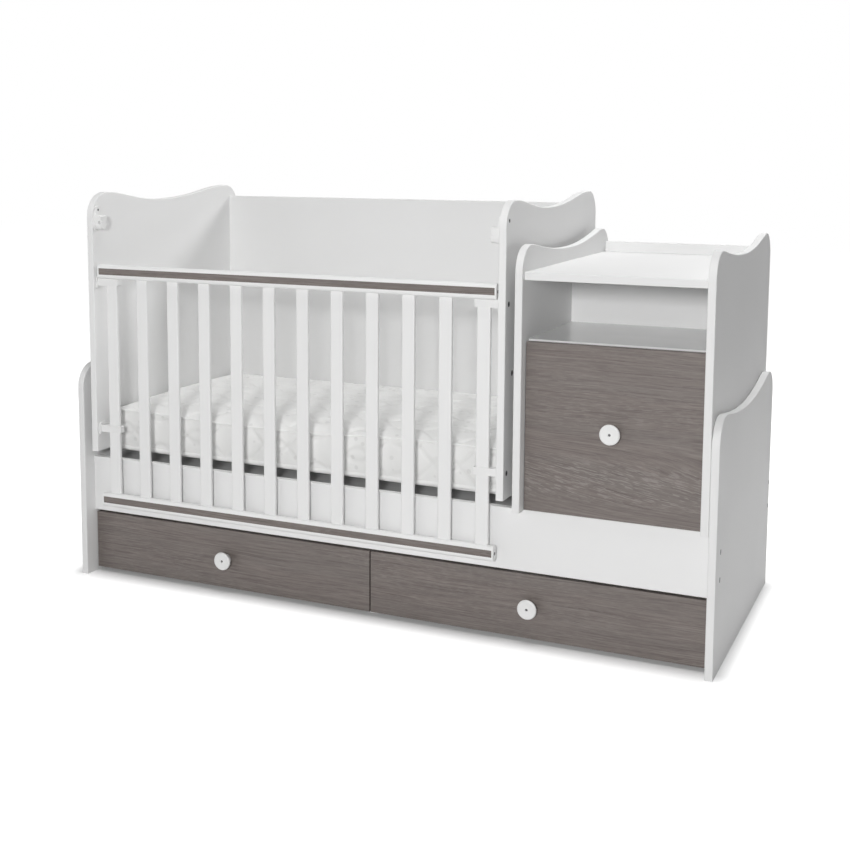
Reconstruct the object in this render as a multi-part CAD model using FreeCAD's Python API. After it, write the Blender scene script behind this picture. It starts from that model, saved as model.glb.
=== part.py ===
import FreeCAD, Part
import math
import os

# Convertible crib. A low base with two drawers carries a crib with a drop side,
# and a chest with one deep drawer and an open niche.
# Millimetres. X runs along the length, Y to the back and Z up.
# The origin is on the floor, under the middle of the base.

Vector = FreeCAD.Vector

# Boards: melamine-faced chipboard, drawer boards and thin drawer bottoms
board = 18.0
drawer_board = 16.0
drawer_sheet = 5.0
edge_round = 2.5
front_round = 1.5

# Wave that tops every end and side: two crests with a dip between.
# The hollow takes this share of the run from a crest to the dip.
corner_radius = 62.0
wave_dip = 29.0
wave_front_drop = 4.0
base_dip_y = 5.0
base_hollow = 0.87
crib_dip_y = -42.0
crib_hollow = 0.65

# Base
base_length = 1660.0
base_depth = 712.0
base_end_height = 570.0
apron_rail_gap = 9.0
apron_bottom = 169.0
apron_height = 145.0
back_rail_inset = 1.0
deck = 12.0
deck_drop = 14.0
bearer_width = 46.0
bearer_inset = 140.0

# Drawers in the base
drawer_floor_gap = 9.5
drawer_top_gap = 7.5
drawer_setback = 6.0
drawer_end_gap = 1.5
drawer_middle_gap = 3.0
drawer_box_bottom = 28.0
drawer_box_drop = 33.0
drawer_back_gap = 91.0

# Slide strips that the drawers run on
runner_gap = 1.5
runner_height = 16.0
runner_clearance = 0.5
groove_depth = 8.0
runner_front_gap = 4.0

# Crib
crib_end_gap = 24.0
crib_chest_gap = 20.0
crib_lift = 24.0
crib_end_height = 680.0
crib_back_height = 647.0
crib_back_inset = 26.0

# Mattress and the board under it
mattress_board = 12.0
mattress_board_inset = 2.0
mattress_overhang = 28.0
mattress_end_gap = 2.5
mattress_rail_gap = 37.0
mattress_back_gap = 2.0
mattress_thickness = 112.0
mattress_crown = 10.0
mattress_end_crown = 1.0
mattress_corner = 28.0
mattress_corner_steps = (0, 0.12, 0.4, 1)
mattress_waist = 3.0
mattress_bulge = 8.0
mattress_slope = 0.25

# Drop side, as it stands lowered
rail_end_clearance = 6.5
rail_front_inset = 7.0
rail_thickness = 22.0
rail_height = 36.0
rail_round = 8.0
top_rail_rise = 455.0
bottom_rail_drop = 148.0
inlay_height = 16.5
inlay_rise = 1.0
inlay_end_gap = 4.0
inlay_thickness = 3.0
slat_count = 12
outer_slat_inset = 34.45
slat_shift = 1.2
slat_setback = 4.0
slat_width = 33.0
slat_thickness = 10.0
slat_round = 3.5
mortise_depth = 12.0
joint_slack = 0.15

# Clips that hold the outer slats to the crib ends
clip_wall = 3.5
clip_tip = 5.5
clip_height = 18.0
clip_flange = 4.0
clip_flange_height = 32.0
clip_flange_width = 26.0
clip_flange_round = 6.0
clip_root = 7.0
clip_round = 3.0
clip_play = 0.4
seat_clearance = 0.3
lower_clip_gap = 0.7

# Catches that hold the raised drop side
catch_rise = 617.0
catch_plate = 4.0
catch_plate_radius = 17.0
catch_plate_offset = 0.0
catch_plate_drop = 37.0
catch_eye_radius = 9.5
catch_eye_offset = 2.0
catch_eye_rise = 15.0
catch_block_radius = 14.0
catch_reach = 22.0
catch_round = 2.0
catch_notch = 6.0
catch_notch_drop = 12.0
catch_notch_height = 8.0
catch_bolt_head = 4.5

# Chest
chest_end_gap = 0.5
chest_width = 438.5
chest_inset = 2.0
chest_side_height = 606.0
chest_top_height = 544.0
chest_top_front_inset = 14.0
upstand_inset = 14.0
upstand_rise = 26.0
upstand_height = 99.0
niche_height = 135.0
niche_depth = 376.0
chest_drawer_inset = 28.0
chest_drawer_floor_gap = 2.0
chest_drawer_top_gap = 4.0
chest_drawer_side_gap = 1.5
chest_drawer_stop_gap = 2.0
chest_knob_rise = 3.5
chest_box_rise = 28.0
chest_box_top_gap = 45.0
chest_box_back_gap = 14.0

# Knobs
knob_radius = 23.0
knob_reach = 25.0
knob_head = 7.5
knob_rim = 3.0
knob_dish = 1.2
knob_foot_radius = 13.0
knob_foot_height = 2.0
knob_foot_flare = 1.0
knob_neck_radius = 9.0
knob_neck_height = 9.0
knob_head_flare = 3.0
knob_hole_radius = 3.2
knob_hole_depth = 5.0
knob_screw_radius = 2.0
knob_screw_head = 2.0
knob_screw_bite = 14.0

# Bolts, dowels and screws
bolt_radius = 3.0
bolt_head_radius = 6.2
bolt_head = 3.0
bolt_socket = 4.0
bolt_socket_depth = 2.0
bolt_length = 58.0
bolt_spread = 62.0
back_bolt_heights = (150.0, 500.0)
level_bolt_rise = 286.0
level_bolt_inset = 50.0
level_bolt_length = 14.0
dowel_radius = 4.0
dowel_length = 30.0
dowel_depth = 11.0
dowel_inset = 60.0
peg_length = 38.0
peg_depth = 10.0
peg_inset = 170.0
end_screw_radius = 2.5
end_screw_head_radius = 4.0
end_screw_head = 2.0
end_screw_length = 26.0
drill_slack = 0.15
cut_over = 1.0
touch = 0.01

# Places that several pieces share: the base and its drawers
half_length = base_length / 2
half_depth = base_depth / 2
end_inner = half_length - board
rail_front = -half_depth + rail_front_inset
rail_back = rail_front + rail_thickness
rail_middle_y = (rail_front + rail_back) / 2
apron_front = rail_back + apron_rail_gap
apron_back = apron_front + board
apron_top = apron_bottom + apron_height
deck_top = apron_top - deck_drop
deck_bottom = deck_top - deck
back_rail_back = half_depth - back_rail_inset
back_rail_front = back_rail_back - board
drawer_face = apron_front + drawer_setback
drawer_inner = drawer_face + board

# Places in the chest
chest_depth = base_depth - 2 * chest_inset
chest_right = end_inner - chest_end_gap
chest_left = chest_right - chest_width
chest_inner_left = chest_left + board
chest_inner_right = chest_right - board
chest_front = -chest_depth / 2
chest_back = chest_depth / 2
chest_bottom = apron_top
chest_floor = chest_bottom + board
chest_top_surface = chest_bottom + chest_top_height
chest_top_underside = chest_top_surface - board
upstand_front = chest_back - upstand_inset - board
niche_back = chest_front + niche_depth
shelf_top = chest_top_underside - niche_height
shelf_bottom = shelf_top - board
chest_drawer_face = chest_front + chest_drawer_inset
chest_drawer_inner = chest_drawer_face + board
chest_stop = chest_drawer_inner + chest_drawer_stop_gap

# Places in the crib
crib_bottom = apron_top + crib_lift
crib_left = -end_inner + crib_end_gap
crib_inner_left = crib_left + board
crib_right = chest_left - crib_chest_gap
crib_inner_right = crib_right - board
crib_middle = (crib_inner_left + crib_inner_right) / 2
crib_back_front = half_depth - crib_back_inset - board
mattress_board_bottom = crib_bottom - mattress_board
mattress_bottom = crib_bottom
mattress_front = rail_back + mattress_rail_gap
mattress_board_front = mattress_front + mattress_overhang
mattress_back = crib_back_front - mattress_back_gap

# Places on the drop side and its fittings
rail_left = crib_inner_left + rail_end_clearance
rail_right = crib_inner_right - rail_end_clearance
top_rail_bottom = crib_bottom + top_rail_rise
bottom_rail_bottom = crib_bottom - bottom_rail_drop
bottom_rail_top = bottom_rail_bottom + rail_height
slat_y = rail_middle_y + slat_setback
first_slat_x = rail_left + outer_slat_inset + slat_shift
last_slat_x = rail_right - outer_slat_inset + slat_shift
slat_pitch = (last_slat_x - first_slat_x) / (slat_count - 1)
catch_top = crib_bottom + catch_rise
lift = catch_top - top_rail_bottom + seat_clearance
upper_clip_bottom = top_rail_bottom - seat_clearance - clip_height
lower_clip_bottom = bottom_rail_top + lift + lower_clip_gap

nodes = {}
cuts = {}


def block(x, y, z):
    """A plain board between two places along each axis."""
    return Part.makeBox(x[1] - x[0], y[1] - y[0], z[1] - z[0], Vector(x[0], y[0], z[0]))


def rod(x, y, z, radius, length):
    """A round bar along X from one end; a negative length runs to the left."""
    return Part.makeCylinder(radius, abs(length), Vector(x, y, z), Vector(math.copysign(1, length), 0, 0))


def drill(name, tool):
    """Keeps a tool to be cut out of a node when all nodes are made."""
    cuts.setdefault(name, []).append(tool)


def lies(edge, axis, value):
    """True where the whole edge lies in the plane across an axis at this value."""
    box = edge.BoundBox
    low, high = {"x": (box.XMin, box.XMax), "y": (box.YMin, box.YMax), "z": (box.ZMin, box.ZMax)}[axis]
    return abs(low - value) < touch and abs(high - value) < touch


def eased(solid, radius, planes):
    """Rounds the edges that lie in any of the planes given as (axis, value)."""
    edges = [edge for edge in solid.Edges if any(lies(edge, *plane) for plane in planes)]
    return solid.makeFillet(radius, edges)


def arc(start, middle, end):
    return Part.Arc(start, middle, end).toShape()


def bowed(start, end, aside):
    """An arc whose middle stands off from the middle of its chord by the step given."""
    return arc(start, (start + end) * 0.5 + aside, end)


def line(start, end):
    return Part.LineSegment(start, end).toShape()


def swell(start, end, hollow):
    """A crown and a hollow in a YZ plane, level at both ends; the hollow takes the share of the run given."""
    high, low = (start, end) if start.z > end.z else (end, start)
    run = low.y - high.y
    fall = high.z - low.z
    both_radii = (run ** 2 + fall ** 2) / (2 * fall)
    half_turn = math.asin(abs(run) / both_radii) / 2
    halfway = Vector(0, math.copysign(math.sin(half_turn), run), math.cos(half_turn) - 1) * both_radii
    meeting = high + (low - high) * (1 - hollow)
    crown = arc(high, high + halfway * (1 - hollow), meeting)
    trough = arc(meeting, low - halfway * hollow, low)
    return [crown, trough] if start.z > end.z else [trough, crown]


def wave_panel(x, depth, bottom, height, dip_y, hollow):
    """An upright end or side board with the wave along its top."""
    half = depth / 2
    top = bottom + height
    front_top = top - wave_front_drop
    front_shoulder_z = front_top - corner_radius
    bend = corner_radius * (1 - math.sqrt(0.5))
    front_foot = Vector(x, -half, bottom)
    front_shoulder = Vector(x, -half, front_shoulder_z)
    front_crest = Vector(x, -half + corner_radius, front_top)
    dip = Vector(x, dip_y, top - wave_dip)
    back_crest = Vector(x, half - corner_radius, top)
    back_shoulder = Vector(x, half, top - corner_radius)
    back_foot = Vector(x, half, bottom)
    outline = [line(front_foot, front_shoulder)]
    outline.append(arc(front_shoulder, Vector(x, -half + bend, front_top - bend), front_crest))
    outline += swell(front_crest, dip, hollow) + swell(dip, back_crest, hollow)
    outline.append(arc(back_crest, Vector(x, half - bend, top - bend), back_shoulder))
    outline += [line(back_shoulder, back_foot), line(back_foot, front_foot)]
    panel = Part.Face(Part.Wire(outline)).extrude(Vector(board, 0, 0))
    faces = [("x", x), ("x", x + board)]
    rims = [edge for edge in panel.Edges
            if any(lies(edge, *face) for face in faces) and not lies(edge, "z", bottom)]
    return panel.makeFillet(edge_round, rims)


def bolt(face_x, inward, y, z, length, panels, head_radius=bolt_head_radius):
    """A flush bolt through the face of a panel, with its hole drilled in each panel named."""
    for name in panels:
        drill(name, rod(face_x, y, z, head_radius + drill_slack, inward * (bolt_head + drill_slack)))
        drill(name, rod(face_x, y, z, bolt_radius + drill_slack, inward * (length + drill_slack)))
    head = rod(face_x, y, z, head_radius, inward * bolt_head)
    shank = rod(face_x, y, z, bolt_radius, inward * length)
    socket = []
    for corner in range(6):
        turn = corner * math.pi / 3
        reach = bolt_socket / math.sqrt(3)
        socket.append(Vector(face_x, y + reach * math.cos(turn), z + reach * math.sin(turn)))
    hexagon = Part.Face(Part.makePolygon(socket + socket[:1]))
    key_hole = hexagon.extrude(Vector(inward * bolt_socket_depth, 0, 0))
    return head.fuse(shank).removeSplitter().cut(key_hole)


def base():
    """The two ends, the front apron, the back rail, the divider, the deck and the bearers."""
    wave = (base_dip_y, base_hollow)
    nodes["left_base_end"] = wave_panel(-half_length, base_depth, 0, base_end_height, *wave)
    nodes["right_base_end"] = wave_panel(end_inner, base_depth, 0, base_end_height, *wave)
    span = (-end_inner, end_inner)
    apron = block(span, (apron_front, apron_back), (apron_bottom, apron_top))
    nodes["apron"] = eased(apron, front_round, [("y", apron_front)])
    nodes["back_rail"] = block(span, (back_rail_front, back_rail_back), (apron_bottom, apron_top))

    divider_x = (-board / 2, board / 2)
    divider = block(divider_x, (apron_back, back_rail_front), (0, deck_bottom))
    behind_fronts = drawer_inner + runner_front_gap
    nodes["centre_divider"] = divider.cut(block(divider_x, (apron_front, behind_fronts), (0, apron_bottom)))

    nodes["deck"] = block(span, (apron_back, back_rail_front), (deck_bottom, deck_top))
    bearer_z = (deck_top, mattress_board_bottom)
    bearer_y = (apron_back + bearer_inset, back_rail_front - bearer_inset)
    nodes["left_bearer"] = block((crib_left, crib_left + bearer_width), bearer_y, bearer_z)
    nodes["right_bearer"] = block((crib_right - bearer_width, crib_right), bearer_y, bearer_z)

    middle_z = apron_bottom + apron_height / 2
    bolts = []
    for rail, y in (("apron", apron_front + board / 2), ("back_rail", back_rail_front + board / 2)):
        for z in (middle_z - bolt_spread / 2, middle_z + bolt_spread / 2):
            bolts.append(bolt(-half_length, 1, y, z, bolt_length, ("left_base_end", rail)))
            bolts.append(bolt(half_length, -1, y, z, bolt_length, ("right_base_end", rail)))
    nodes["base_bolts"] = Part.Compound(bolts)


def runner_pair(outer_x, y, z):
    """The two slide strips fixed to the walls on either side of a drawer."""
    strip = runner_gap + groove_depth - runner_clearance
    left = block((outer_x[0], outer_x[0] + strip), y, (z - runner_height / 2, z + runner_height / 2))
    right = block((outer_x[1] - strip, outer_x[1]), y, (z - runner_height / 2, z + runner_height / 2))
    return Part.Compound([left, right])


def knob(x, face_y, z):
    """A turned knob with a foot, a neck and a broad dished head, bored for a screw from the front."""

    def at(radius, reach):
        return Vector(x + radius, face_y - reach, z)

    bore = knob_screw_radius + drill_slack
    rim_radius = knob_radius - knob_rim
    foot = at(knob_foot_radius, knob_foot_height)
    neck = at(knob_neck_radius, knob_neck_height)
    rim_back = at(rim_radius, knob_reach - knob_head)
    rim_front = at(rim_radius, knob_reach)
    hole = at(knob_hole_radius, knob_reach - knob_dish)
    hole_floor = knob_reach - knob_hole_depth
    outline = [
        line(at(bore, 0), at(knob_foot_radius, 0)),
        line(at(knob_foot_radius, 0), foot),
        bowed(foot, neck, Vector(-knob_foot_flare, 0, 0)),
        bowed(neck, rim_back, Vector(-knob_head_flare, 0, 0)),
        bowed(rim_back, rim_front, Vector(knob_rim, 0, 0)),
        bowed(rim_front, hole, Vector(0, knob_dish / 4, 0)),
        line(hole, at(knob_hole_radius, hole_floor)),
        line(at(knob_hole_radius, hole_floor), at(bore, hole_floor)),
        line(at(bore, hole_floor), at(bore, 0)),
    ]
    face = Part.Face(Part.Wire(outline))
    return face.revolve(Vector(x, face_y, z), Vector(0, 1, 0), 360)


def drawer(name, front_x, front_z, face_y, box_x, box_z, back_y, knob_rise=0.0):
    """A drawer with a laminated front, two grooved sides, a back, a thin bottom and a knob."""
    inner_y = face_y + board
    runner_z = (box_z[0] + box_z[1]) / 2
    side_y = (inner_y, back_y)
    groove_half = runner_height / 2 + runner_clearance
    groove_z = (runner_z - groove_half, runner_z + groove_half)
    nodes[name + "_front"] = eased(block(front_x, (face_y, inner_y), front_z), front_round, [("y", face_y)])
    left = block((box_x[0], box_x[0] + drawer_board), side_y, box_z)
    right = block((box_x[1] - drawer_board, box_x[1]), side_y, box_z)
    nodes[name + "_left_side"] = left.cut(block((box_x[0], box_x[0] + groove_depth), side_y, groove_z))
    nodes[name + "_right_side"] = right.cut(block((box_x[1] - groove_depth, box_x[1]), side_y, groove_z))
    between = (box_x[0] + drawer_board, box_x[1] - drawer_board)
    nodes[name + "_back"] = block(between, (back_y - drawer_board, back_y), box_z)
    nodes[name + "_bottom"] = block(box_x, side_y, (box_z[0] - drawer_sheet, box_z[0]))

    knob_x = (front_x[0] + front_x[1]) / 2
    knob_z = (front_z[0] + front_z[1]) / 2 + knob_rise
    nodes[name + "_knob"] = knob(knob_x, face_y, knob_z)
    out = Vector(0, -1, 0)
    seat_reach = knob_reach - knob_hole_depth
    seat = Vector(knob_x, face_y - seat_reach, knob_z)
    shank = Part.makeCylinder(knob_screw_radius, seat_reach + knob_screw_bite, seat, -out)
    head = Part.makeCylinder(knob_hole_radius - drill_slack, knob_screw_head, seat, out)
    nodes[name + "_screw"] = head.fuse(shank).removeSplitter()
    hole_depth = knob_screw_bite + drill_slack
    mouth = Vector(knob_x, face_y, knob_z)
    drill(name + "_front", Part.makeCylinder(knob_screw_radius + drill_slack, hole_depth, mouth, -out))


def base_drawers():
    """Two wide drawers side by side under the apron, on strips at the ends and the divider."""
    front_z = (drawer_floor_gap, apron_bottom - drawer_top_gap)
    box_z = (drawer_box_bottom, apron_bottom - drawer_box_drop)
    back_y = back_rail_front - drawer_back_gap
    runner_y = (drawer_inner + runner_front_gap, back_y)
    walls = {"left_drawer": (-end_inner, -board / 2), "right_drawer": (board / 2, end_inner)}
    fronts = {
        "left_drawer": (-end_inner + drawer_end_gap, -drawer_middle_gap / 2),
        "right_drawer": (drawer_middle_gap / 2, end_inner - drawer_end_gap),
    }
    for name, wall in walls.items():
        box_x = (wall[0] + runner_gap, wall[1] - runner_gap)
        drawer(name, fronts[name], front_z, drawer_face, box_x, box_z, back_y)
        nodes[name + "_runners"] = runner_pair(wall, runner_y, (box_z[0] + box_z[1]) / 2)


def dowel(x, inward, y, z, side, shelf):
    """A wooden dowel across the joint between a chest side and a level board."""
    start = x - inward * dowel_depth
    for name in (side, shelf):
        hole = rod(start - inward * drill_slack, y, z, dowel_radius + drill_slack,
                   inward * (dowel_length + 2 * drill_slack))
        drill(name, hole)
    return rod(start, y, z, dowel_radius, inward * dowel_length)


def chest():
    """Two waved sides that stand on the apron and the back rail, with the boards between them."""
    side = (chest_depth, chest_bottom, chest_side_height, base_dip_y, base_hollow)
    nodes["left_chest_side"] = wave_panel(chest_left, *side)
    nodes["right_chest_side"] = wave_panel(chest_inner_right, *side)
    span = (chest_inner_left, chest_inner_right)
    top_front = chest_front + chest_top_front_inset
    top = block(span, (top_front, upstand_front), (chest_top_underside, chest_top_surface))
    nodes["chest_top"] = eased(top, front_round, [("y", top_front)])
    upstand_top = chest_top_surface + upstand_rise
    upstand_y = (upstand_front, upstand_front + board)
    upstand = block(span, upstand_y, (upstand_top - upstand_height, upstand_top))
    nodes["chest_upstand"] = eased(upstand, front_round, [("z", upstand_top)])
    shelf = block(span, (chest_stop, niche_back), (shelf_bottom, shelf_top))
    nodes["chest_shelf"] = eased(shelf, front_round, [("y", chest_stop)])
    back_z = (chest_floor, chest_top_underside)
    nodes["chest_back"] = block(span, (niche_back, niche_back + board), back_z)
    nodes["chest_bottom"] = block(span, (chest_stop, chest_back), (chest_bottom, chest_floor))

    dowels = []
    levels = {
        "chest_top": (top_front, upstand_front, chest_top_surface),
        "chest_shelf": (chest_stop, niche_back, shelf_top),
        "chest_bottom": (chest_stop, chest_back, chest_floor),
    }
    for name, (front_y, back_y, surface) in levels.items():
        for y in (front_y + dowel_inset, back_y - dowel_inset):
            z = surface - board / 2
            dowels.append(dowel(chest_inner_left, 1, y, z, "left_chest_side", name))
            dowels.append(dowel(chest_inner_right, -1, y, z, "right_chest_side", name))
    nodes["chest_dowels"] = Part.Compound(dowels)


def chest_drawer():
    """One deep drawer that fills the chest below the niche."""
    front_x = (chest_inner_left + chest_drawer_side_gap, chest_inner_right - chest_drawer_side_gap)
    front_z = (chest_bottom + chest_drawer_floor_gap, shelf_top - chest_drawer_top_gap)
    box_x = (chest_inner_left + runner_gap, chest_inner_right - runner_gap)
    box_z = (chest_bottom + chest_box_rise, shelf_bottom - chest_box_top_gap)
    back_y = niche_back - chest_box_back_gap
    drawer("chest_drawer", front_x, front_z, chest_drawer_face, box_x, box_z, back_y, chest_knob_rise)
    runner_y = (chest_drawer_inner + runner_front_gap, back_y)
    walls = (chest_inner_left, chest_inner_right)
    nodes["chest_drawer_runners"] = runner_pair(walls, runner_y, (box_z[0] + box_z[1]) / 2)


def mattress():
    """A sprung pad: level below, crowned above, with round corners and sides that draw in between them."""
    middle_y = (mattress_front + mattress_back) / 2
    half_width = (mattress_back - mattress_front) / 2
    top = mattress_bottom + mattress_thickness
    half = (crib_inner_right - crib_inner_left) / 2 - mattress_end_gap
    near_end = [half - step * mattress_corner for step in mattress_corner_steps]
    along = [-place for place in near_end] + [-half / 2, 0, half / 2] + near_end[::-1]
    sections = []
    for place in along:
        past = max(0, abs(place) - half + mattress_corner)
        corner = mattress_corner - math.sqrt(mattress_corner ** 2 - past ** 2)
        bow = 1 - (place / half) ** 2
        reach = half_width - corner - mattress_waist * bow
        brow_z = top - corner * mattress_slope
        crown = mattress_crown * (1 + bow) / 2 * (1 - corner / mattress_corner)

        def at(y, z):
            return Vector(crib_middle + place, middle_y + y, z)

        rim = reach - mattress_bulge
        waist_z = (mattress_bottom + brow_z) / 2
        outline = [
            line(at(-rim, mattress_bottom), at(rim, mattress_bottom)),
            arc(at(rim, mattress_bottom), at(reach, waist_z), at(rim, brow_z)),
            arc(at(rim, brow_z), at(0, brow_z + crown + mattress_end_crown), at(-rim, brow_z)),
            arc(at(-rim, brow_z), at(-reach, waist_z), at(-rim, mattress_bottom)),
        ]
        sections.append(Part.Wire(outline))
    nodes["mattress"] = Part.makeLoft(sections, True, True)


def wall_block(side, reach, y, z):
    """A block measured out from the inner face of a crib end; side is 1 on the left and -1 on the right."""
    face = crib_inner_left if side > 0 else crib_inner_right
    ends = sorted(face + side * value for value in reach)
    return block(ends, y, z)


def clip(side, bottom, end_name):
    """A moulded loop round the outer slat, with a flange that is bolted to the crib end."""
    slat_reach = first_slat_x - crib_inner_left if side > 0 else crib_inner_right - last_slat_x
    window = slat_reach + slat_width / 2 + clip_play
    reach = window + clip_tip
    half_gap = slat_thickness / 2 + clip_play
    loop_y = (slat_y - half_gap - clip_wall, slat_y + half_gap + clip_wall)
    z = (bottom, bottom + clip_height)
    tip = (crib_inner_left if side > 0 else crib_inner_right) + side * reach
    loop = eased(wall_block(side, (0, reach), loop_y, z), clip_round, [("x", tip)])
    gap_y = (slat_y - half_gap, slat_y + half_gap)
    loop = loop.cut(wall_block(side, (clip_root, window), gap_y, z))
    middle_z = bottom + clip_height / 2
    flange_y = (slat_y - clip_flange_width / 2, slat_y + clip_flange_width / 2)
    flange_z = (middle_z - clip_flange_height / 2, middle_z + clip_flange_height / 2)
    flange = wall_block(side, (0, clip_flange), flange_y, flange_z)
    corners = [edge for edge in flange.Edges if edge.BoundBox.XLength > clip_flange / 2]
    flange = flange.makeFillet(clip_flange_round, corners)
    name = end_name + ("_upper_clip" if bottom == upper_clip_bottom else "_lower_clip")
    nodes[name] = loop.fuse(flange).removeSplitter()
    outer = crib_left if side > 0 else crib_right
    panels = (end_name + "_crib_end", name)
    return bolt(outer, side, slat_y, middle_z, board + clip_root - joint_slack, panels)


def tangent_plate(low, low_radius, high, high_radius, thickness):
    """A teardrop plate: two round ends of different size joined by their common tangents."""
    gap = high - low
    axis = math.atan2(gap.z, gap.y)
    open_angle = math.acos((low_radius - high_radius) / gap.Length)

    def on(centre, radius, angle):
        return centre + Vector(0, radius * math.cos(angle), radius * math.sin(angle))

    right, left = axis - open_angle, axis + open_angle
    outline = [
        line(on(low, low_radius, right), on(high, high_radius, right)),
        arc(on(high, high_radius, right), on(high, high_radius, axis), on(high, high_radius, left)),
        line(on(high, high_radius, left), on(low, low_radius, left)),
        arc(on(low, low_radius, left), on(low, low_radius, axis + math.pi), on(low, low_radius, right)),
    ]
    return Part.Face(Part.Wire(outline)).extrude(Vector(thickness, 0, 0))


def catch(side, end_name):
    """A moulded catch: a teardrop plate with a block, level on top, that the raised rail sits on."""
    face = crib_inner_left if side > 0 else crib_inner_right
    eye = Vector(face, rail_middle_y + catch_eye_offset, catch_top + catch_eye_rise)
    heel = Vector(face, rail_middle_y + catch_plate_offset, eye.z - catch_plate_drop)
    plate = tangent_plate(heel, catch_plate_radius, eye, catch_eye_radius, side * catch_plate)

    def at(y, z):
        return Vector(face, heel.y + y, z)

    radius = catch_block_radius
    outline = [
        line(at(-radius, catch_top), at(-radius, heel.z)),
        arc(at(-radius, heel.z), at(0, heel.z - radius), at(radius, heel.z)),
        line(at(radius, heel.z), at(radius, catch_top)),
        line(at(radius, catch_top), at(-radius, catch_top)),
    ]
    seat = Part.Face(Part.Wire(outline)).extrude(Vector(side * catch_reach, 0, 0))
    seat = eased(seat, catch_round, [("x", face + side * catch_reach)])
    notch_top = catch_top - catch_notch_drop
    notch_y = (heel.y - radius, heel.y - radius + catch_notch)
    notch_reach = (catch_reach - catch_notch, catch_reach)
    seat = seat.cut(wall_block(side, notch_reach, notch_y, (notch_top - catch_notch_height, notch_top)))
    name = end_name + "_catch"
    nodes[name] = plate.fuse(seat).removeSplitter()
    outer = crib_left if side > 0 else crib_right
    panels = (end_name + "_crib_end", name)
    length = board + catch_plate - joint_slack
    return bolt(outer, side, eye.y, eye.z, length, panels, catch_bolt_head)


def peg(x, y, pieces):
    """An upright wooden peg from a bearer through the mattress board into a crib end."""
    foot = mattress_board_bottom - peg_depth
    hole_foot = Vector(x, y, foot - drill_slack)
    for name in pieces:
        drill(name, Part.makeCylinder(dowel_radius + drill_slack, peg_length + 2 * drill_slack, hole_foot))
    return Part.makeCylinder(dowel_radius, peg_length, Vector(x, y, foot))


def crib():
    """Two waved ends and a plain back on the mattress board, with the fittings for the drop side."""
    end_board = (base_depth, crib_bottom, crib_end_height, crib_dip_y, crib_hollow)
    nodes["left_crib_end"] = wave_panel(crib_left, *end_board)
    nodes["right_crib_end"] = wave_panel(crib_inner_right, *end_board)
    span = (crib_inner_left, crib_inner_right)
    back_top = crib_bottom + crib_back_height
    back = block(span, (crib_back_front, crib_back_front + board), (crib_bottom, back_top))
    nodes["crib_back"] = eased(back, edge_round, [("z", back_top)])
    board_x = (crib_left + mattress_board_inset, crib_right - mattress_board_inset)
    board_y = (mattress_board_front, crib_back_front + board)
    nodes["mattress_board"] = block(board_x, board_y, (mattress_board_bottom, crib_bottom))
    mattress()
    bolts = []
    pegs = []
    for side, end_name, outer in ((1, "left", crib_left), (-1, "right", crib_right)):
        end = end_name + "_crib_end"
        bolts.append(clip(side, upper_clip_bottom, end_name))
        bolts.append(clip(side, lower_clip_bottom, end_name))
        bolts.append(catch(side, end_name))
        for rise in back_bolt_heights:
            y = crib_back_front + board / 2
            bolts.append(bolt(outer, side, y, crib_bottom + rise, bolt_length, (end, "crib_back")))
        for y in (-half_depth + level_bolt_inset, half_depth - level_bolt_inset - crib_back_inset):
            bolts.append(bolt(outer, side, y, crib_bottom + level_bolt_rise, level_bolt_length, (end,)))
        for y in (mattress_board_front + peg_inset, crib_back_front - peg_inset):
            pegs.append(peg(outer + side * board / 2, y, (end_name + "_bearer", "mattress_board", end)))
    nodes["crib_bolts"] = Part.Compound(bolts)
    nodes["crib_pegs"] = Part.Compound(pegs)


def rail(name, bottom):
    """A round-edged rail with a strip let into its front and a screw in each end."""
    span = (rail_left, rail_right)
    y = (rail_front, rail_front + rail_thickness)
    body = block(span, y, (bottom, bottom + rail_height))
    long_edges = [edge for edge in body.Edges if edge.BoundBox.XLength > rail_height]
    nodes[name + "_rail"] = body.makeFillet(rail_round, long_edges)
    middle_z = bottom + rail_height / 2
    strip_x = (rail_left + inlay_end_gap, rail_right - inlay_end_gap)
    strip_bottom = middle_z + inlay_rise - inlay_height / 2
    strip_z = (strip_bottom, strip_bottom + inlay_height)
    strip = block(strip_x, (rail_front, rail_front + inlay_thickness), strip_z)
    drill(name + "_rail", strip)
    nodes[name + "_inlay"] = strip
    screws = []
    for x, inward in ((rail_left, 1), (rail_right, -1)):
        head = rod(x, rail_middle_y, middle_z, end_screw_head_radius, inward * end_screw_head)
        shank = rod(x, rail_middle_y, middle_z, end_screw_radius, inward * end_screw_length)
        screws.append(head.fuse(shank).removeSplitter())
        drill(name + "_rail", rod(x, rail_middle_y, middle_z, end_screw_head_radius + drill_slack,
                                  inward * (end_screw_head + drill_slack)))
        drill(name + "_rail", rod(x, rail_middle_y, middle_z, end_screw_radius + drill_slack,
                                  inward * (end_screw_length + drill_slack)))
    return screws


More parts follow.
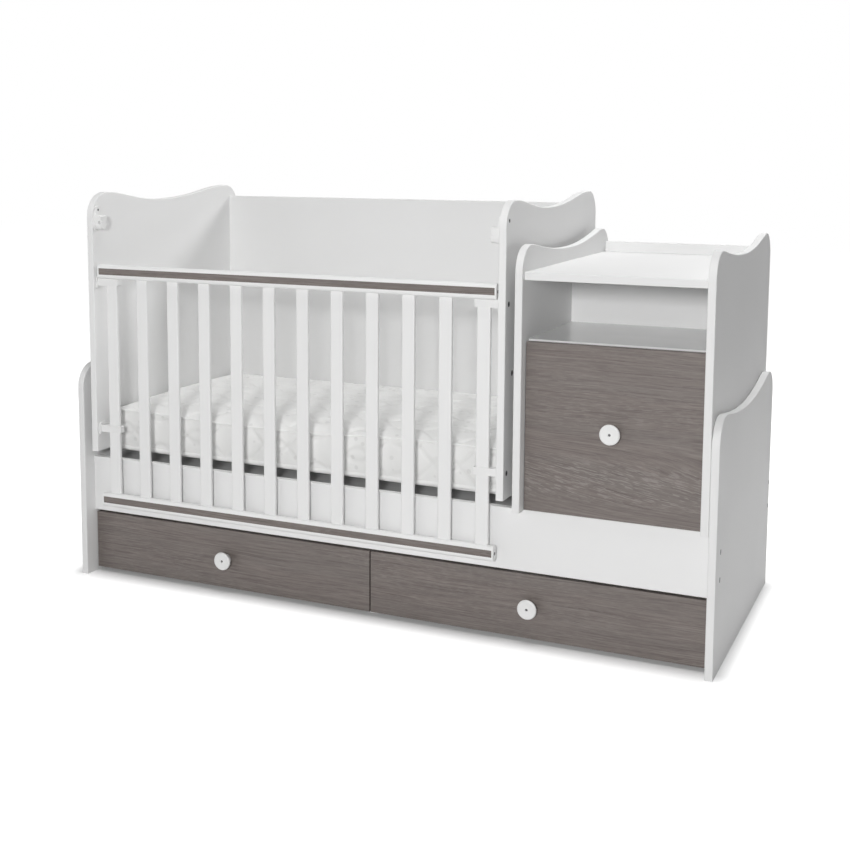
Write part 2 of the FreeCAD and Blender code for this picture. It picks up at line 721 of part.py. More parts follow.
def drop_side():
    """Two rails joined by flat slats that are let into mortises."""
    screws = rail("top", top_rail_bottom) + rail("bottom", bottom_rail_bottom)
    nodes["rail_end_screws"] = Part.Compound(screws)
    slat_z = (bottom_rail_top - mortise_depth, top_rail_bottom + mortise_depth)
    slats = []
    for index in range(slat_count):
        x = first_slat_x + index * slat_pitch
        slat_x = (x - slat_width / 2, x + slat_width / 2)
        across = (slat_y - slat_thickness / 2, slat_y + slat_thickness / 2)
        slat = block(slat_x, across, slat_z)
        long_edges = [edge for edge in slat.Edges if edge.BoundBox.ZLength > slat_width]
        slats.append(slat.makeFillet(slat_round, long_edges))
        hole_x = (slat_x[0] - joint_slack, slat_x[1] + joint_slack)
        hole_y = (across[0] - joint_slack, across[1] + joint_slack)
        drill("top_rail", block(hole_x, hole_y, (top_rail_bottom - cut_over, slat_z[1] + joint_slack)))
        drill("bottom_rail", block(hole_x, hole_y, (slat_z[0] - joint_slack, bottom_rail_top + cut_over)))
    nodes["slats"] = Part.Compound(slats)


base()
base_drawers()
chest()
chest_drawer()
crib()
drop_side()

for name, tools in cuts.items():
    nodes[name] = nodes[name].cut(tools)

os.makedirs("parts", exist_ok=True)
for name, shape in nodes.items():
    if not shape.isValid():
        raise ValueError(name + " is not a valid shape")
    shape.exportStep("parts/" + name + ".step")
print(len(nodes), "nodes,", sum(len(shape.Solids) for shape in nodes.values()), "solids")
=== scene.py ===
import math

import bmesh
import bpy
import numpy as np
from mathutils import Matrix, Vector


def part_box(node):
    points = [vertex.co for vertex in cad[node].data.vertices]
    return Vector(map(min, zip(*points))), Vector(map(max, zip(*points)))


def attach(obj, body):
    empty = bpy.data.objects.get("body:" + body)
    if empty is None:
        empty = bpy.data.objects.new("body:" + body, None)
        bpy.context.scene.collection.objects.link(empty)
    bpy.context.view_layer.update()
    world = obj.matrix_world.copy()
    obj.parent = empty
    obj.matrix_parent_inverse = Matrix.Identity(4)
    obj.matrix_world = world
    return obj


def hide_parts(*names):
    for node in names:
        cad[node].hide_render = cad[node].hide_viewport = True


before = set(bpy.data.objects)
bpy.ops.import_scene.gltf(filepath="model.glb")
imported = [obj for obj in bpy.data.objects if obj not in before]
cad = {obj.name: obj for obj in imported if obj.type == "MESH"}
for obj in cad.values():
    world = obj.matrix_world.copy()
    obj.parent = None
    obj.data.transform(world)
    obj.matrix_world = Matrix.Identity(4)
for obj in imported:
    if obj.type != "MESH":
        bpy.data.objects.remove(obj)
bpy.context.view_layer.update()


# Base: two waved ends, an apron, a back rail and a divider, all of 18 mm chipboard with white melamine faces.
# Every visible rim has a white plastic band, milled round and duller than the face, with a hairline of glue.
def add(tree, kind, inputs=None, **settings):
    """A shader node with its settings; an input is a plain value or the socket that feeds it."""
    made = tree.nodes.new("ShaderNode" + kind)
    for name, value in settings.items():
        setattr(made, name, value)
    for name, value in (inputs or {}).items():
        if isinstance(value, bpy.types.NodeSocket):
            tree.links.new(value, made.inputs[name])
        else:
            made.inputs[name].default_value = value
    return made


def blank(name):
    """A new material with only its output."""
    material = bpy.data.materials.new(name)
    material.use_nodes = True
    material.node_tree.nodes.clear()
    return material, material.node_tree


def surface(tree, **inputs):
    """Closes a material with a Principled shader; underscores in the names stand for spaces."""
    named = {name.replace("_", " "): value for name, value in inputs.items()}
    shader = add(tree, "BsdfPrincipled", named)
    add(tree, "OutputMaterial", {"Surface": shader.outputs["BSDF"]})


def place_of(tree):
    """The place on the object in metres."""
    return add(tree, "TexCoord").outputs["Object"]


def stretched(tree, place, scale, offset=(0, 0, 0)):
    return add(tree, "Mapping", {"Vector": place, "Scale": scale, "Location": offset}).outputs["Vector"]


def noise(tree, place, scale, detail=2.0, roughness=0.5):
    made = add(tree, "TexNoise", {
        "Vector": place, "Scale": scale, "Detail": detail, "Roughness": roughness})
    return made.outputs["Fac"]


def ramp(tree, factor, stops):
    """A colour ramp from (place, colour) stops; a single number stands for a grey."""
    made = add(tree, "ValToRGB", {"Fac": factor})
    band = made.color_ramp
    while len(band.elements) < len(stops):
        band.elements.new(1.0)
    for element, (at, colour) in zip(band.elements, stops):
        element.position = at
        element.color = (*colour, 1.0) if isinstance(colour, tuple) else (colour, colour, colour, 1.0)
    return made.outputs["Color"]


def math_node(tree, operation, first, second=0.0):
    return add(tree, "Math", {0: first, 1: second}, operation=operation).outputs["Value"]


def mixed(tree, factor, first, second, blend="MIX"):
    made = add(tree, "MixRGB", {"Fac": factor, "Color1": first, "Color2": second}, blend_type=blend)
    return made.outputs["Color"]


def bumped(tree, height, strength, distance):
    made = add(tree, "Bump", {"Height": height, "Strength": strength, "Distance": distance})
    return made.outputs["Normal"]


def melamine(name, broad_axis, dullness, shine=0.5):
    """White melamine on the broad faces, matt plastic edge band on the rims."""
    material, tree = blank(name)
    place = place_of(tree)
    normal = add(tree, "NewGeometry").outputs["Normal"]
    facing = add(tree, "VectorMath", {0: normal, 1: broad_axis}, operation="DOT_PRODUCT").outputs["Value"]
    flatness = math_node(tree, "ABSOLUTE", facing)
    band = ramp(tree, flatness, [(0.90, 1.0), (0.97, 0.0)])
    glue = ramp(tree, flatness, [(0.955, 0.0), (0.97, 1.0), (0.985, 1.0), (0.995, 0.0)])
    cloud = noise(tree, place, 2.3)
    face = ramp(tree, cloud, [(0.3, (0.79, 0.79, 0.788)), (0.7, (0.812, 0.812, 0.81))])
    band_colour = (0.80, 0.80, 0.797, 1.0)
    glue_colour = (0.70, 0.70, 0.69, 1.0)
    colour = mixed(tree, band, face, band_colour)
    colour = mixed(tree, glue, colour, glue_colour)
    pearl = noise(tree, place, 1300.0)
    dull = ramp(tree, noise(tree, place, 9.0, 4.0), [(0.3, dullness - 0.03), (0.7, dullness + 0.03)])
    band_dullness = 0.72
    gloss = mixed(tree, band, dull, (band_dullness, band_dullness, band_dullness, 1.0))
    relief = bumped(tree, pearl, strength=0.004, distance=0.0002)
    surface(tree, Base_Color=colour, Roughness=gloss, Specular_IOR_Level=shine, Normal=relief)
    return material


def dress(material, *names):
    """Gives CAD nodes their finish."""
    for name in names:
        mesh = cad[name].data
        mesh.materials.clear()
        mesh.materials.append(material)


end_axis = (1.0, 0.0, 0.0)
front_axis = (0.0, 1.0, 0.0)
top_axis = (0.0, 0.0, 1.0)
end_board = melamine("melamine on end boards", end_axis, dullness=0.48, shine=0.22)
upright_board = melamine("melamine on upright boards", front_axis, dullness=0.5)
level_board = melamine("melamine on level boards", top_axis, dullness=0.13)
dress(end_board, "left_base_end", "right_base_end", "centre_divider")
dress(upright_board, "apron", "back_rail")
dress(level_board, "deck", "left_bearer", "right_bearer")


# Bolts: dark steel machine bolts with a hexagon socket, sunk flush into the ends of the base and of the crib.
# The plain screws in the rails' ends and in the knobs have the same dull dark finish.
def dark_steel():
    material, tree = blank("dark dull steel")
    place = place_of(tree)
    worn = noise(tree, place, 400.0, 3.0)
    colour = ramp(tree, worn, [(0.35, (0.07, 0.07, 0.072)), (0.7, (0.16, 0.16, 0.16))])
    gloss = ramp(tree, worn, [(0.3, 0.34), (0.7, 0.5)])
    relief = bumped(tree, worn, strength=0.1, distance=0.0001)
    surface(tree, Base_Color=colour, Roughness=gloss, Metallic=1.0, Normal=relief)
    return material


steel = dark_steel()
dress(steel, "base_bolts", "crib_bolts", "rail_end_screws")
dress(steel, "left_drawer_screw", "right_drawer_screw", "chest_drawer_screw")


# Drawer fronts and rail strips: chipboard faced with a grey-brown oak print, pressed with a fine pore relief.
# The grain runs along the length. Each front is its own cut, and only the chest's has strokes that slope.
def oak(name, centre, lean):
    """Oak print with streaks along X; lean is the slope that its strokes take in the lower third."""
    material, tree = blank(name)
    place = stretched(tree, place_of(tree), (1, 1, 1), tuple(-value for value in centre))
    axes = add(tree, "SeparateXYZ", {0: place}).outputs
    seed = centre[0] * 7.3 + centre[2] * 3.1
    waver = noise(tree, stretched(tree, place, (1.8, 0.0, 7.0), (seed, 0, 0)), 1.0, 2.0)
    level = math_node(tree, "ADD", math_node(tree, "MULTIPLY", axes["Z"], 2.5), 0.5)
    low_part = ramp(tree, level, [(0.0, 0.0), (0.18, 1.0), (0.30, 1.0), (0.52, 0.0)])
    slope = math_node(tree, "MULTIPLY", math_node(tree, "MULTIPLY", axes["X"], low_part), lean)
    height = math_node(tree, "ADD", axes["Z"], math_node(tree, "MULTIPLY", waver, 0.025))
    height = math_node(tree, "ADD", height, slope)
    grain = add(tree, "CombineXYZ", {"X": axes["X"], "Y": seed, "Z": height}).outputs[0]
    bands = noise(tree, stretched(tree, grain, (1.4, 1.0, 19.0)), 1.0, 2.0)
    streaks = noise(tree, stretched(tree, grain, (8.0, 1.0, 230.0)), 1.0, 6.0, 0.75)
    fibres = noise(tree, stretched(tree, grain, (22.0, 1.0, 640.0)), 1.0, 3.0, 0.6)
    streak_part = math_node(tree, "MULTIPLY", streaks, 0.62)
    fibre_part = math_node(tree, "MULTIPLY", fibres, 0.38)
    tone = math_node(tree, "ADD", streak_part, fibre_part)
    colour = ramp(tree, tone, [
        (0.36, (0.097, 0.080, 0.074)), (0.5, (0.161, 0.136, 0.125)), (0.66, (0.223, 0.193, 0.178))])
    band_colour = (0.147, 0.131, 0.122, 1.0)
    dark_line = (0.084, 0.069, 0.063, 1.0)
    pale_line = (0.230, 0.206, 0.192, 1.0)
    lime = (0.270, 0.248, 0.233, 1.0)
    colour = mixed(tree, ramp(tree, bands, [(0.38, 0.0), (0.62, 0.4)]), colour, band_colour)
    lines = noise(tree, stretched(tree, grain, (4.2, 3.0, 300.0)), 1.0, 2.0)
    colour = mixed(tree, ramp(tree, lines, [(0.58, 0.0), (0.68, 0.6)]), colour, dark_line)
    colour = mixed(tree, ramp(tree, lines, [(0.30, 0.5), (0.39, 0.0)]), colour, pale_line)
    pores = noise(tree, stretched(tree, grain, (50.0, 5.0, 480.0)), 1.0, 2.0)
    strokes = mixed(tree, min(1.0, lean * 5.0), (0.0, 0.0, 0.0, 1.0), ramp(tree, level, [
        (0.09, 0.0), (0.15, 0.7), (0.29, 0.7), (0.38, 0.0)]))
    blotch = noise(tree, stretched(tree, grain, (2.2, 2.0, 9.0)), 1.0)
    patch = ramp(tree, blotch, [(0.45, 0.16), (0.7, 0.42)])
    patch = mixed(tree, 1.0, patch, strokes, "ADD")
    limed = mixed(tree, 1.0, ramp(tree, pores, [(0.52, 0.0), (0.62, 0.8)]), patch, "MULTIPLY")
    colour = mixed(tree, limed, colour, lime)
    depth = math_node(tree, "ADD", fibres, math_node(tree, "MULTIPLY", pores, 1.4))
    relief = bumped(tree, depth, strength=0.2, distance=0.0003)
    gloss = ramp(tree, fibres, [(0.3, 0.44), (0.7, 0.56)])
    surface(tree, Base_Color=colour, Roughness=gloss, Normal=relief, IOR=1.45)
    return material


leans = {
    "left_drawer_front": 0.0, "right_drawer_front": 0.0, "chest_drawer_front": 0.19,
    "top_inlay": 0.0, "bottom_inlay": 0.0}
for front, lean in leans.items():
    low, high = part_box(front)
    dress(oak("oak print on " + front, (low + high) / 2, lean), front)


# Drawer boxes: thin white drawer board over a sheet of white hardboard, carried by plastic slide strips.
# They show only when a drawer is open, and are plainer and duller than the outside boards.
def plain_board(name, colour, dullness):
    material, tree = blank(name)
    place = place_of(tree)
    fleck = noise(tree, place, 160.0, 4.0)
    darker = tuple(value * 0.955 for value in colour)
    tint = ramp(tree, fleck, [(0.3, darker), (0.7, colour)])
    gloss = ramp(tree, fleck, [(0.3, dullness - 0.05), (0.7, dullness + 0.05)])
    relief = bumped(tree, fleck, strength=0.1, distance=0.0003)
    surface(tree, Base_Color=tint, Roughness=gloss, Normal=relief)
    return material


drawer_board = plain_board("drawer board", (0.79, 0.79, 0.785), dullness=0.55)
hardboard = plain_board("white hardboard", (0.74, 0.735, 0.72), dullness=0.65)
for drawer in ("left_drawer", "right_drawer", "chest_drawer"):
    dress(drawer_board, drawer + "_left_side", drawer + "_right_side", drawer + "_back")
    dress(hardboard, drawer + "_bottom")


# Knobs, slide strips, clips and catches: white mouldings with a faint sparkle of the mould's surface.
# The knobs are turned in shape, with a dished face and a dark screw in the middle.
def moulding(name, colour, dullness):
    material, tree = blank(name)
    place = place_of(tree)
    grain = noise(tree, place, 2200.0)
    flow = noise(tree, place, 35.0, 2.0)
    tint = ramp(tree, flow, [(0.3, tuple(value * 0.985 for value in colour)), (0.7, colour)])
    gloss = ramp(tree, flow, [(0.3, dullness - 0.04), (0.7, dullness + 0.05)])
    relief = bumped(tree, grain, strength=0.06, distance=0.0001)
    surface(tree, Base_Color=tint, Roughness=gloss, Normal=relief, IOR=1.49)
    return material


white_plastic = moulding("white moulded plastic", (0.80, 0.80, 0.795), dullness=0.4)
strip_plastic = moulding("slide strip plastic", (0.72, 0.72, 0.71), dullness=0.42)
dress(white_plastic, "left_drawer_knob", "right_drawer_knob", "chest_drawer_knob")
dress(strip_plastic, "left_drawer_runners", "right_drawer_runners", "chest_drawer_runners")


# Chest: two waved sides that stand on the base, a changing top, an upstand, an open niche and a deep drawer.
# The level boards are dowelled between the sides, with no fixing to be seen from outside.
dress(end_board, "left_chest_side", "right_chest_side")
changing_top = melamine("melamine on the changing top", top_axis, dullness=0.5, shine=0.12)
dress(changing_top, "chest_top")
dress(level_board, "chest_shelf", "chest_bottom")
dress(upright_board, "chest_upstand", "chest_back")


# Crib: two waved ends bolted to a plain back, all standing on the board that carries the mattress.
# Beech pegs and dowels locate the boards and stay out of sight.
def beech(name):
    material, tree = blank(name)
    place = stretched(tree, place_of(tree), (160.0, 5.0, 160.0))
    fibre = noise(tree, place, 1.0, 4.0, 0.6)
    colour = ramp(tree, fibre, [(0.3, (0.43, 0.29, 0.17)), (0.7, (0.60, 0.44, 0.28))])
    relief = bumped(tree, fibre, strength=0.2, distance=0.0004)
    surface(tree, Base_Color=colour, Roughness=0.6, Normal=relief)
    return material


bare_beech = beech("bare beech")
dress(bare_beech, "crib_pegs", "chest_dowels")
crib_end_board = melamine("melamine on crib ends", end_axis, dullness=0.42, shine=0.7)
dress(crib_end_board, "left_crib_end", "right_crib_end")
dress(upright_board, "crib_back")
dress(level_board, "mattress_board")
for side in ("left", "right"):
    dress(white_plastic, side + "_upper_clip", side + "_lower_clip", side + "_catch")


# Mattress: a sprung pad in a quilted off-white cover, sewn from a top, a bottom and a border.
# A cord runs along the upper seam and a flat tape along the lower one. The filling swells each quilted field,
# and the front edge reaches past the board below it and sags a little.
def spaced(span, cell):
    """Places from end to end, closer together beside both ends."""
    near = np.array([0.0, 0.004, 0.009, 0.015, 0.022])
    margin = 0.030
    inner = np.linspace(margin, span - margin, round((span - 2 * margin) / cell) + 1)
    return np.concatenate([near, inner, span - near[::-1]])


def smooth_step(value):
    value = np.clip(value, 0.0, 1.0)
    return value * value * (3 - 2 * value)


pad_low, pad_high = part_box("mattress")
pad_middle = (pad_low + pad_high) / 2
seam_drop = 0.017
pad_crown = 0.010
pad_corner = 0.030
pad_bulge = 0.006
cloth_gap = 0.001
roll_width = 0.045
end_width = 0.06
overhang = 0.028
front_sag = 0.005
half_x = (pad_high.x - pad_low.x) / 2 - pad_bulge - cloth_gap
half_y = (pad_high.y - pad_low.y) / 2 - pad_bulge - cloth_gap
brow = pad_high.z - pad_low.z - pad_crown
seam_height = brow - seam_drop
board_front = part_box("mattress_board")[0].y


def rounded(x, y):
    """Draws the corners of the pad's outline in to an arc."""
    a = np.clip((np.abs(x) - half_x + pad_corner) / pad_corner, 0.0, None)
    b = np.clip((np.abs(y) - half_y + pad_corner) / pad_corner, 0.0, None)
    round_x = half_x - pad_corner + pad_corner * a * np.sqrt(np.clip(1 - b * b / 2, 0.0, 1.0))
    round_y = half_y - pad_corner + pad_corner * b * np.sqrt(np.clip(1 - a * a / 2, 0.0, 1.0))
    return np.where(a > 0, np.sign(x) * round_x, x), np.where(b > 0, np.sign(y) * round_y, y)


def seam_lift(x, y):
    """How the front's upper seam wavers: high at both ends, sagging left of the middle."""
    places = np.array([-1.0, -0.84, -0.67, -0.49, -0.31, -0.1, 0.13, 0.4, 0.64, 0.84, 1.0]) * half_x
    lifts = np.array([5.0, 5.6, 2.0, -2.0, -4.6, -5.0, -3.6, 3.0, 7.0, 5.6, 5.0]) * 0.001
    return np.interp(x, places, lifts) * smooth_step(0.5 - y / half_y)


def pad_point(x, y, height, top):
    """The unswollen cover: level below, crowned above, rolled to the seam, drawn out at half height."""
    share = height / seam_height
    out = 1 + 4 * pad_bulge / half_y * share * (1 - share)
    px, py = rounded(x, y)
    edge = np.minimum(half_x - np.abs(x), half_y - np.abs(y))
    roll = seam_drop * np.clip(1 - edge / roll_width, 0.0, 1.0) ** 2
    lift = seam_lift(x, y)
    crown = pad_crown * (1 - (y / half_y) ** 2) * (1 - 0.5 * (x / half_x) ** 2)
    z = np.where(top, brow - roll + crown + lift * roll / seam_drop, height * (1 + lift / seam_height))
    py = np.where(top, py, py * out)
    near_end = smooth_step((np.abs(px) - half_x + end_width) / end_width)
    px = np.where(top, px, px + np.sign(px) * (out - 1) * half_y * near_end)
    beyond = np.clip((board_front - pad_middle.y - py) / overhang, 0.0, 1.0)
    z = z - front_sag * beyond ** 2 * (1 - height / brow)
    return np.stack([px, py, z], axis=-1)


cell = 0.009
columns = spaced(2 * half_x, cell) - half_x
ranks = spaced(2 * half_y, cell) - half_y
levels = spaced(seam_height, cell)
last_column, last_rank, last_level = len(columns) - 1, len(ranks) - 1, len(levels) - 1
around = [(i, 0) for i in range(last_column)] + [(last_column, j) for j in range(last_rank)]
around += [(i, last_rank) for i in range(last_column, 0, -1)] + [(0, j) for j in range(last_rank, 0, -1)]
number = {}
for level in (0, last_level):
    for i in range(last_column + 1):
        for j in range(last_rank + 1):
            number[i, j, level] = len(number)
for level in range(1, last_level):
    for i, j in around:
        number[i, j, level] = len(number)
grid = np.array(list(number))
heights = levels[grid[:, 2]]
corners = pad_point(columns[grid[:, 0]], ranks[grid[:, 1]], heights, grid[:, 2] == last_level)
quads = []
for i in range(last_column):
    for j in range(last_rank):
        square = [(i, j), (i + 1, j), (i + 1, j + 1), (i, j + 1)]
        quads.append([number[a, b, last_level] for a, b in square])
        quads.append([number[a, b, 0] for a, b in reversed(square)])
for (a, b), (c, d) in zip(around, around[1:] + around[:1]):
    for level in range(last_level):
        lower = [number[a, b, level], number[c, d, level]]
        upper = [number[c, d, level + 1], number[a, b, level + 1]]
        quads.append(lower + upper)


def wave_distance(u, v):
    """Distance to the nearest quilting line: two families of waves that cross in long ovals."""
    wave_length = 0.23
    wave_pitch = 0.088
    swing = 0.036 * np.sin(2 * math.pi * u / wave_length)
    rise = (v - swing) / wave_pitch
    fall = (v + swing + wave_pitch / 2) / wave_pitch
    first = np.abs(rise - np.round(rise))
    second = np.abs(fall - np.round(fall))
    steepness = 0.07
    return steepness * np.minimum(first, second)


def cover_place(points, facing_up):
    """Where a point lies on the flat cloth, on the top or along the border."""
    front = np.abs(points[:, 1]) / half_y > np.abs(points[:, 0]) / half_x
    along = np.where(front, points[:, 0], points[:, 1] + 0.31)
    u = np.where(facing_up, points[:, 0], along)
    v = np.where(facing_up, points[:, 1], points[:, 2] * 0.9 + 0.02)
    return u, v


def linked_object(name, points, faces):
    mesh = bpy.data.meshes.new(name)
    mesh.from_pydata([tuple(point) for point in points], [], faces)
    mesh.polygons.foreach_set("use_smooth", [True] * len(mesh.polygons))
    made = bpy.data.objects.new(name, mesh)
    bpy.context.scene.collection.objects.link(made)
    return made


pad = linked_object("mattress_pad", corners, quads)
on_top = grid[:, 2] == last_level
stitch_width = 0.0045
stitched = wave_distance(*cover_place(corners, on_top)) < stitch_width
on_rim = np.isin(grid[:, 0], (0, last_column)) | np.isin(grid[:, 1], (0, last_rank))
held = stitched | (on_top & on_rim) | (grid[:, 2] <= 1)
group = pad.vertex_groups.new(name="stitched")
group.add([int(index) for index in np.flatnonzero(held)], 1.0, "REPLACE")
cloth = pad.modifiers.new("filling", "CLOTH")
cloth.settings.quality = 4
cloth.settings.mass = 0.2
cloth.settings.tension_stiffness = 12.0
cloth.settings.compression_stiffness = 12.0
cloth.settings.shear_stiffness = 6.0
cloth.settings.bending_stiffness = 0.4
cloth.settings.use_pressure = True
cloth.settings.uniform_pressure_force = 4.0
cloth.settings.vertex_group_mass = "stitched"
cloth.settings.effector_weights.gravity = 0.0
cloth.collision_settings.use_collision = False
last_moment = 20
for moment in range(1, last_moment + 1):
    bpy.context.scene.frame_set(moment)
swollen = pad.evaluated_get(bpy.context.evaluated_depsgraph_get()).to_mesh()
moved = np.empty(len(corners) * 3)
swollen.vertices.foreach_get("co", moved)
step = moved.reshape(-1, 3) - corners
travel = np.linalg.norm(step, axis=1, keepdims=True)
limit = 0.0055
corners = corners + step * np.where(travel > limit, limit / np.maximum(travel, 1e-9), 1.0)
pad.modifiers.remove(cloth)
pad.vertex_groups.remove(group)
bpy.context.scene.frame_set(1)
print("mattress swells", round(float(travel.max()) * 1000, 2), "mm before the limit")
pad.data.vertices.foreach_set("co", corners.ravel())

finer = bmesh.new()
finer.from_mesh(pad.data)
bmesh.ops.subdivide_edges(finer, edges=finer.edges, cuts=1, use_grid_fill=True, smooth=0.6)
finer.normal_update()
points = np.array([vertex.co for vertex in finer.verts])
normals = np.array([vertex.normal for vertex in finer.verts])
upward_face = normals[:, 2] > 0.75
groove_width = 0.0038
groove_depth = 0.0034
groove = np.exp(-(wave_distance(*cover_place(points, upward_face)) / groove_width) ** 2)
edge_fade = smooth_step((np.minimum(points[:, 2], np.abs(seam_height - points[:, 2])) - 0.004) / 0.008)
edge_fade = np.where(upward_face, 1.0, edge_fade)
wrinkle = np.sin(points[:, 0] * 310) * np.sin(points[:, 1] * 270 + points[:, 2] * 190) * 0.00025
below = normals[:, 2] < -0.5
shift = np.where(below, 0.0, wrinkle - groove_depth * groove * edge_fade)
points = points + normals * shift[:, None]
for vertex, point in zip(finer.verts, points):
    vertex.co = point
finer.to_mesh(pad.data)
finer.free()
# A weight of painted shade along the quilting grooves, full on the border away from the seams, 0.3 on the
# top.
painted_quilt_shade = pad.data.attributes.new("painted_quilt_shade", "FLOAT", "POINT")
painted_quilt_shade.data.foreach_set("value", groove * np.where(upward_face, 0.3, edge_fade))
pad.data.polygons.foreach_set("use_smooth", [True] * len(pad.data.polygons))
pad.location = (pad_middle.x, pad_middle.y, pad_low.z)


def swept(name, height, out, half_width, half_height, waver):
    """A sewn edge round the pad: an oval section swept along its outline."""
    x = np.array([columns[i] for i, j in around])
    y = np.array([ranks[j] for i, j in around])
    path = pad_point(x, y, np.full(len(x), height), np.zeros(len(x), bool))
    ahead = np.roll(path, -1, axis=0) - np.roll(path, 1, axis=0)
    outward = np.stack([ahead[:, 1], -ahead[:, 0], np.zeros(len(x))], axis=-1)
    outward /= np.linalg.norm(outward, axis=1, keepdims=True)
    drift = waver * (np.sin(path[:, 0] * 23 + path[:, 1] * 31) + 0.6 * np.sin(path[:, 0] * 71 + 1.3))
    sides = 10
    rings = []
    for side in range(sides):
        turn = 2 * math.pi * side / sides
        ring = path + outward * (out + half_width * math.cos(turn))
        ring[:, 2] += drift + half_height * math.sin(turn)
        rings.append(ring)
    tube = np.stack(rings, axis=1).reshape(-1, 3)
    faces = []
    count = len(path)
    for k in range(count):
        for side in range(sides):
            beside = (side + 1) % sides
            here = k * sides
            there = (k + 1) % count * sides
            faces.append([here + side, there + side, there + beside, here + beside])
    made = linked_object(name, tube, faces)
    made.location = pad.location
    return made


cord = swept("mattress_cord", seam_height, out=0.0008, half_width=0.0026, half_height=0.0026, waver=0.0007)
tape = swept("mattress_tape", 0.0045, out=0.0004, half_width=0.0022, half_height=0.0048, waver=0.0006)


def ticking(name, colour, dimpling):
    """Knitted cover cloth with scattered dimples, with painted shade in the dimples and along its quilting
    lines.
    """
    material, tree = blank(name)
    place = place_of(tree)
    courses = stretched(tree, place, (1.0, 1.0, 1.6))
    knit = add(tree, "TexVoronoi", {"Vector": courses, "Scale": 620.0}).outputs["Distance"]
    cloud = noise(tree, place, 7.0, 3.0)
    tint = ramp(tree, cloud, [(0.3, tuple(value * 0.97 for value in colour)), (0.7, colour)])
    dots = add(tree, "TexVoronoi", {"Vector": place, "Scale": 33.0}).outputs["Distance"]
    dimple = ramp(tree, dots, [(0.15, 1.0), (0.22, 0.0)])
    # Painted shade: the dimples' colour is darkened, besides their dent in the bump.
    dent_depth_and_shade = math_node(tree, "MULTIPLY", dimple, dimpling)
    dimple_shade_colour = (0.69, 0.69, 0.68, 1.0)
    tint = mixed(tree, dent_depth_and_shade, tint, dimple_shade_colour)
    # Painted shade: the cloth's colour is darkened along the quilting grooves, by a weight on the pad's mesh.
    groove_shade = add(tree, "Attribute", attribute_name="painted_quilt_shade").outputs["Fac"]
    groove_shade_colour = (0.56, 0.56, 0.55, 1.0)
    tint = mixed(tree, math_node(tree, "MULTIPLY", groove_shade, 0.15), tint, groove_shade_colour)
    loops = math_node(tree, "MULTIPLY", knit, 0.4)
    relief = bumped(tree, math_node(tree, "SUBTRACT", loops, dent_depth_and_shade), strength=0.35, distance=0.0008)
    surface(tree, Base_Color=tint, Roughness=0.88, Sheen_Weight=0.15, Normal=relief)
    return material


pad.data.materials.append(ticking("quilted ticking", (0.82, 0.82, 0.81), dimpling=0.7))
trim_cloth = ticking("woven edge tape", (0.86, 0.86, 0.85), dimpling=0.0)
for sewn in (cord, tape):
    sewn.data.materials.append(trim_cloth)
for sewn in (pad, cord, tape):
    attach(sewn, "frame")
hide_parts("mattress")


# Drop side: two round-edged rails and twelve slats of solid wood under white satin paint.
# The paint is filled and sanded, so only a trace of the fibres shows in its sheen.
def satin_paint(name, along):
    material, tree = blank(name)
    place = place_of(tree)
    fibre = noise(tree, stretched(tree, place, along), 1.0, 3.0)
    cloud = noise(tree, place, 4.0)
    colour = ramp(tree, cloud, [(0.3, (0.80, 0.80, 0.797)), (0.7, (0.82, 0.82, 0.817))])
    gloss = ramp(tree, fibre, [(0.3, 0.34), (0.7, 0.42)])
    relief = bumped(tree, fibre, strength=0.05, distance=0.0003)
    surface(tree, Base_Color=colour, Roughness=gloss, Normal=relief, IOR=1.5)
    return material


dress(satin_paint("satin paint on rails", (6.0, 300.0, 300.0)), "top_rail", "bottom_rail")
dress(satin_paint("satin paint on slats", (300.0, 300.0, 6.0)), "slats")


# Studio: a white floor that keeps the lamps' shadow, with a painted contact shadow in its glow round the
# base, a key lamp beside the camera, a fill from the left, two lamps far above, one high behind, and the
# photograph's camera. The floor and the sky are white only to the camera and in reflections, so the object
# keeps its own light.
def shows_white(tree):
    """One where the camera, a reflection or a clear surface looks, nought where light is gathered."""
    rays = add(tree, "LightPath").outputs
    seen = math_node(tree, "MAXIMUM", rays["Is Camera Ray"], rays["Is Glossy Ray"])
    return math_node(tree, "MAXIMUM", seen, rays["Is Transmission Ray"])


floor_mesh = bpy.data.meshes.new("floor")
floor_reach = 12.0
floor_corners = [(x * floor_reach, y * floor_reach, 0) for x, y in ((-1, -1), (1, -1), (1, 1), (-1, 1))]
floor_mesh.from_pydata(floor_corners, [], [(0, 1, 2, 3)])
floor = bpy.data.objects.new("floor", floor_mesh)
bpy.context.scene.collection.objects.link(floor)
paper, tree = blank("white floor")
diffuse = add(tree, "BsdfDiffuse", {"Color": (0.8, 0.8, 0.8, 1.0)})
foot = (-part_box("left_base_end")[0].x, -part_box("left_drawer_front")[0].y, 0.0)
outside = add(tree, "VectorMath", {0: place_of(tree)}, operation="ABSOLUTE").outputs["Vector"]
outside = add(tree, "VectorMath", {0: outside, 1: foot}, operation="SUBTRACT").outputs["Vector"]
outside = add(tree, "VectorMath", {0: outside, 1: (0.0, 0.0, 0.0)}, operation="MAXIMUM").outputs["Vector"]
outside = add(tree, "VectorMath", {0: outside, 1: (2.0, 1.0, 0.0)}, operation="MULTIPLY").outputs["Vector"]
away = add(tree, "VectorMath", {0: outside}, operation="LENGTH").outputs["Value"]
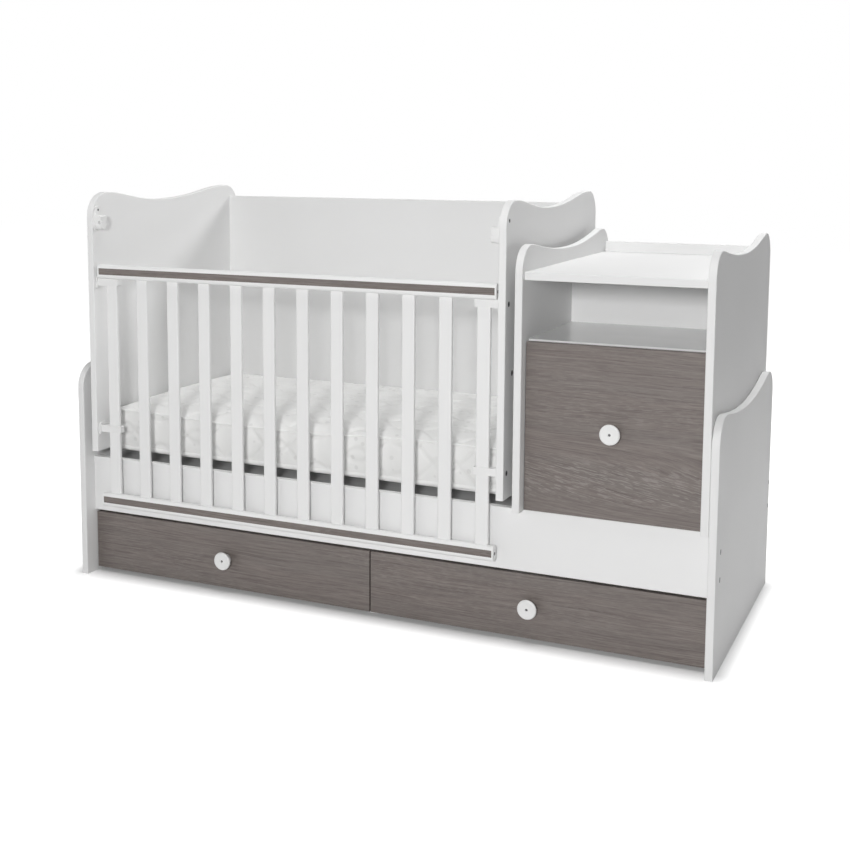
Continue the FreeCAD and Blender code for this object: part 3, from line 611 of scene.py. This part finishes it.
# Painted shadow: the floor's glow is least at the base's footprint and grows to white a little way out.
whiteness_and_painted_shadow = ramp(tree, math_node(tree, "MULTIPLY", away, 8.0), [
    (0.0, 0.06), (0.2, 0.22), (0.45, 0.5), (0.7, 0.72), (0.95, 0.9)])
farther = math_node(tree, "MINIMUM", math_node(tree, "MULTIPLY", away, 0.05), 0.1)
whiteness_and_painted_shadow = math_node(tree, "ADD", whiteness_and_painted_shadow, farther)
whiteness_and_painted_shadow = math_node(tree, "MULTIPLY", whiteness_and_painted_shadow, shows_white(tree))
white = (1.0, 1.0, 1.0, 1.0)
glow = add(tree, "Emission", {"Color": white, "Strength": whiteness_and_painted_shadow})
both = add(tree, "AddShader", {0: diffuse.outputs[0], 1: glow.outputs[0]})
add(tree, "OutputMaterial", {"Surface": both.outputs[0]})
floor_mesh.materials.append(paper)

world = bpy.data.worlds.new("studio")
bpy.context.scene.world = world
world.use_nodes = True
tree = world.node_tree
tree.nodes.clear()
sky = add(tree, "Background", {"Color": white, "Strength": shows_white(tree)})
add(tree, "OutputWorld", {"Surface": sky.outputs[0]})


def softbox(name, place, target, size, power):
    """A rectangular area lamp that faces its target."""
    lamp = bpy.data.lights.new(name, "AREA")
    lamp.shape = "RECTANGLE"
    lamp.size, lamp.size_y = size
    lamp.energy = power
    holder = bpy.data.objects.new(name, lamp)
    holder.location = place
    holder.rotation_euler = (Vector(target) - Vector(place)).to_track_quat("-Z", "Y").to_euler()
    bpy.context.scene.collection.objects.link(holder)


softbox("key", (1.25, -4.7, 1.57), target=(0.0, 0.0, 0.6), size=(0.6, 0.6), power=117.0)
softbox("front_left", (-3.0, -3.2, 1.5), target=(0.0, 0.0, 0.5), size=(2.5, 2.5), power=24.0)
softbox("overhead", (0.0, -0.5, 5.0), target=(0.0, 0.0, 0.4), size=(2.0, 2.0), power=68.0)
softbox("over_right", (1.0, -0.9, 4.4), target=(0.0, 0.0, 0.5), size=(2.0, 2.0), power=24.0)
softbox("back_high", (1.05, 2.45, 2.5), target=(-0.2, 0.0, 0.7), size=(0.9, 0.8), power=54.0)

camera_data = bpy.data.cameras.new("camera")
camera = bpy.data.objects.new("camera", camera_data)
bpy.context.scene.collection.objects.link(camera)
yaw, pitch = math.radians(-25.360), math.radians(-6.798)
ahead = Vector((math.sin(yaw) * math.cos(pitch), math.cos(yaw) * math.cos(pitch), math.sin(pitch)))
right = Vector((math.cos(yaw), -math.sin(yaw), 0.0))
upward = right.cross(ahead)
roll = Matrix.Rotation(math.radians(0.10), 3, -ahead)
camera.matrix_world = Matrix((roll @ right, roll @ upward, -ahead)).transposed().to_4x4()
camera.location = (1.31869, -3.07476, 1.12945)
picture = 850
focal_px = 1304.8
centre_px = (373.8, 303.5)
camera_data.sensor_width = 36.0
camera_data.lens = camera_data.sensor_width * focal_px / picture
camera_data.shift_x = (picture / 2 - centre_px[0]) / picture
camera_data.shift_y = (centre_px[1] - picture / 2) / picture
bpy.context.scene.camera = camera
bpy.context.scene.view_settings.view_transform = "Standard"
